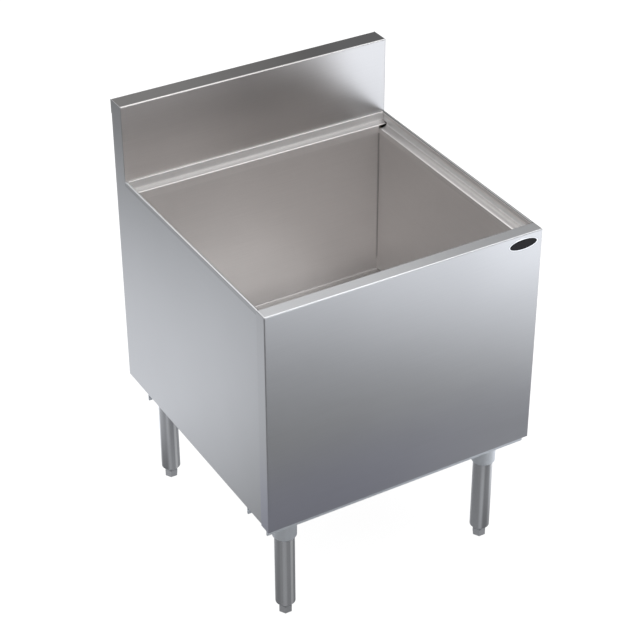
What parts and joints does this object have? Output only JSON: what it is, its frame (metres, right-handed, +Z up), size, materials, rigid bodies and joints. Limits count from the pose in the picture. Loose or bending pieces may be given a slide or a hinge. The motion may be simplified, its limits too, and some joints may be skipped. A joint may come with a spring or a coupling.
{
  "type": "underbar ice bin",
  "caption": "Insulated stainless underbar ice bin: open well with recessed ledges, folded rim, backsplash, bottom drain and tubular legs with levelling feet.",
  "frame": {"origin": "on the floor, below the middle of the bin's overall width and depth", "axes": "+Z up, -Y towards the person who scoops the ice, +Y towards the backsplash, +X to the right seen from the front"},
  "size_m": [0.61, 0.616, 0.932],
  "materials": {
    "outer_steel": "satin brushed stainless sheet",
    "liner_steel": "satin stainless sheet",
    "galvanised_steel": "dull galvanised sheet",
    "channel_steel": "dull zinc plated steel",
    "leg_steel": "satin stainless tube",
    "foot_metal": "satin metal",
    "drain_metal": "satin stainless",
    "insulation_foam": "rigid foam board"
  },
  "bodies": {
    "cabinet": {"front_panel": "outer_steel", "left_side_panel": "outer_steel", "right_side_panel": "outer_steel", "rear_rim": "outer_steel", "backsplash": "outer_steel", "liner_wrap": "liner_steel", "left_liner_end": "liner_steel", "right_liner_end": "liner_steel", "back_panel": "galvanised_steel", "bottom_pan": "galvanised_steel", "front_channel": "channel_steel", "rear_channel": "channel_steel", "leg_sockets": "channel_steel", "leg_tubes": "leg_steel", "foot_inserts": "foot_metal", "drain_body": "drain_metal", "drain_strainer": "drain_metal", "drain_locknut": "drain_metal", "front_foam": "insulation_foam", "back_foam": "insulation_foam", "left_foam": "insulation_foam", "right_foam": "insulation_foam", "floor_foam": "insulation_foam"},
    "levelling_foot_front_left": {"foot_front_left": "foot_metal"},
    "levelling_foot_front_right": {"foot_front_right": "foot_metal"},
    "levelling_foot_rear_left": {"foot_rear_left": "foot_metal"},
    "levelling_foot_rear_right": {"foot_rear_right": "foot_metal"}
  },
  "joints": [
    {"name": "foot_front_left_height", "type": "slide", "parent": "cabinet", "child": "levelling_foot_front_left", "axis": [0, 0, 1], "range_m": [-0.025, 0]},
    {"name": "foot_front_right_height", "type": "slide", "parent": "cabinet", "child": "levelling_foot_front_right", "axis": [0, 0, 1], "range_m": [-0.025, 0]},
    {"name": "foot_rear_left_height", "type": "slide", "parent": "cabinet", "child": "levelling_foot_rear_left", "axis": [0, 0, 1], "range_m": [-0.025, 0]},
    {"name": "foot_rear_right_height", "type": "slide", "parent": "cabinet", "child": "levelling_foot_rear_right", "axis": [0, 0, 1], "range_m": [-0.025, 0]}
  ]
}
